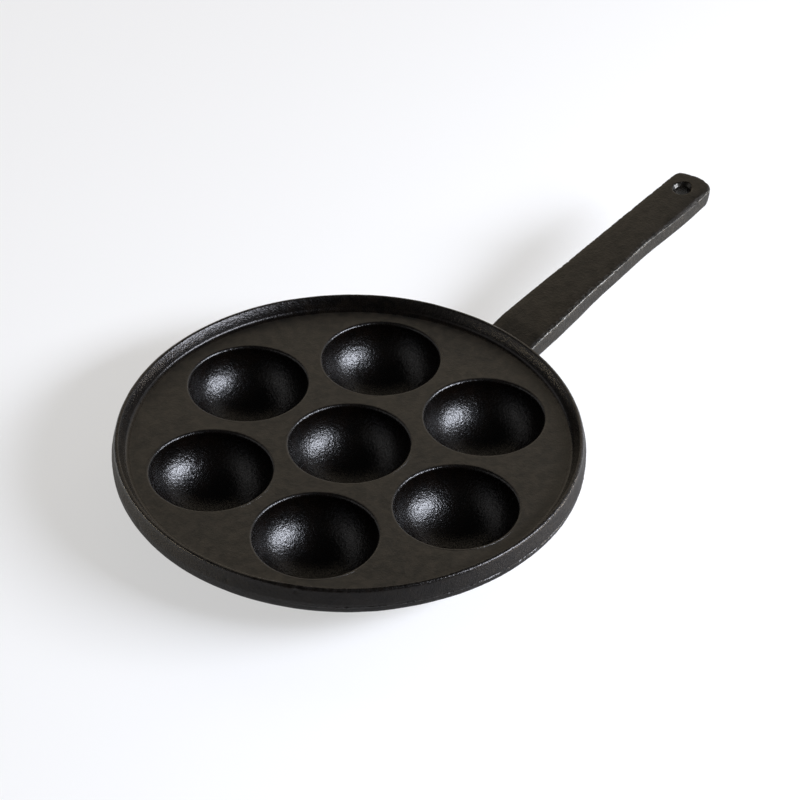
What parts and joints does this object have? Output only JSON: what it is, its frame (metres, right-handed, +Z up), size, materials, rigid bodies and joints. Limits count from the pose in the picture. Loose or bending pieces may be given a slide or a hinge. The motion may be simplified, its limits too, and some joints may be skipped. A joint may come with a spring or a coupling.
{
  "type": "pancake puff pan",
  "caption": "Round cast-iron pan with bowl-shaped wells sunk in a flat deck, a low sloping rim and a long tapered handle with a hanging hole, for baking round filled pancakes.",
  "frame": {"origin": "on the pan's vertical axis, in the plane of the well feet, at the middle of the centre well's foot", "axes": "+Z up, +X along the handle from the pan's axis to the tip"},
  "size_m": [0.3726, 0.2212, 0.0492],
  "materials": {
    "seasoned_iron": "as-cast, oiled and seasoned to a satin brown-black, with fine sand grain"
  },
  "bodies": {
    "root": {"deck_plate": "seasoned_iron", "rim": "seasoned_iron", "well_centre": "seasoned_iron", "well_1": "seasoned_iron", "well_2": "seasoned_iron", "well_3": "seasoned_iron", "well_4": "seasoned_iron", "well_5": "seasoned_iron", "well_6": "seasoned_iron", "handle": "seasoned_iron"}
  },
  "joints": []
}
